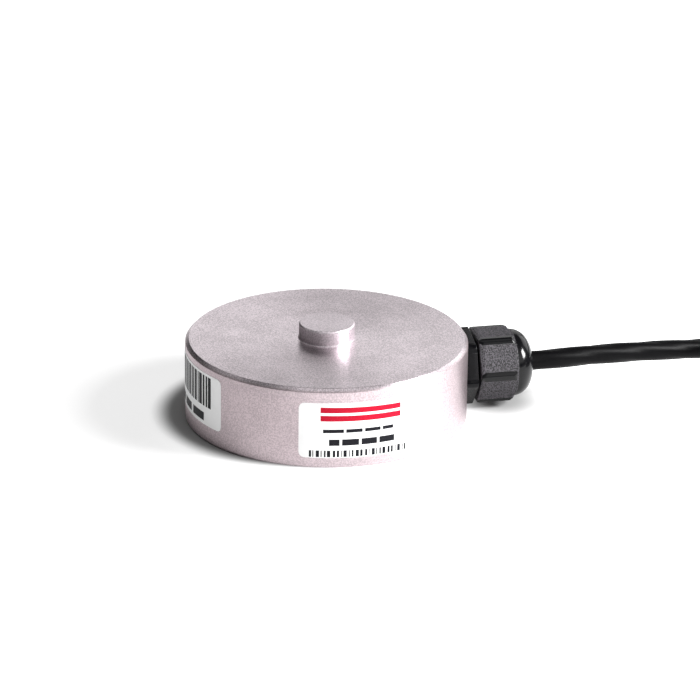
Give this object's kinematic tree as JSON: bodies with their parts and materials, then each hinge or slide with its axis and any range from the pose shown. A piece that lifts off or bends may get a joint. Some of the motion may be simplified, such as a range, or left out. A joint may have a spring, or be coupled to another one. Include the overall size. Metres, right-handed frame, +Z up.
{
  "type": "compression load cell",
  "caption": "Low-profile stainless compression load cell with a raised load button, a black nylon cable gland and a black signal cable that ends in bare leads",
  "frame": {"origin": "Middle of the round base, on the plane that the cell stands on", "axes": "+Z up along the load axis, +X out along the cable gland"},
  "size_m": [0.2525, 0.1232, 0.028],
  "materials": {
    "stainless": "fine turned",
    "screw_steel": "satin",
    "seal_rubber": "matte",
    "gauge_foil": "foil on film",
    "foam": "matte",
    "board_green": "lacquered",
    "chip_black": "matte",
    "wire_enamel": "enamelled",
    "core_red": "satin",
    "core_black": "satin",
    "core_green": "satin",
    "core_white": "satin",
    "tinned_wire": "tinned",
    "gland_nylon": "eroded grain",
    "label_film": "satin",
    "cable_jacket": "satin",
    "tie_nylon": "satin",
    "sleeve_black": "matte"
  },
  "bodies": {
    "root": {"housing": "stainless", "base_cover": "stainless", "cover_o_ring": "seal_rubber", "cover_screws": "screw_steel", "gauge_inner_a": "gauge_foil", "gauge_inner_b": "gauge_foil", "gauge_outer_a": "gauge_foil", "gauge_outer_b": "gauge_foil", "board_pad": "foam", "terminal_board": "board_green", "bridge_resistors": "chip_black", "gauge_wires": "wire_enamel", "core_red": "core_red", "core_black": "core_black", "core_green": "core_green", "core_white": "core_white", "core_shield": "tinned_wire", "gland_washer": "seal_rubber", "gland_body": "gland_nylon", "gland_seal": "seal_rubber", "gland_nut": "gland_nylon", "front_label": "label_film", "side_label": "label_film", "cable_entry": "cable_jacket", "cable_run": "cable_jacket", "cable_coil": "cable_jacket", "coil_ties": "tie_nylon", "cable_tail": "cable_jacket", "end_sleeve": "sleeve_black", "lead_red": "core_red", "lead_black": "core_black", "lead_green": "core_green", "lead_white": "core_white", "lead_shield": "tinned_wire", "lead_tips": "tinned_wire"}
  },
  "joints": []
}
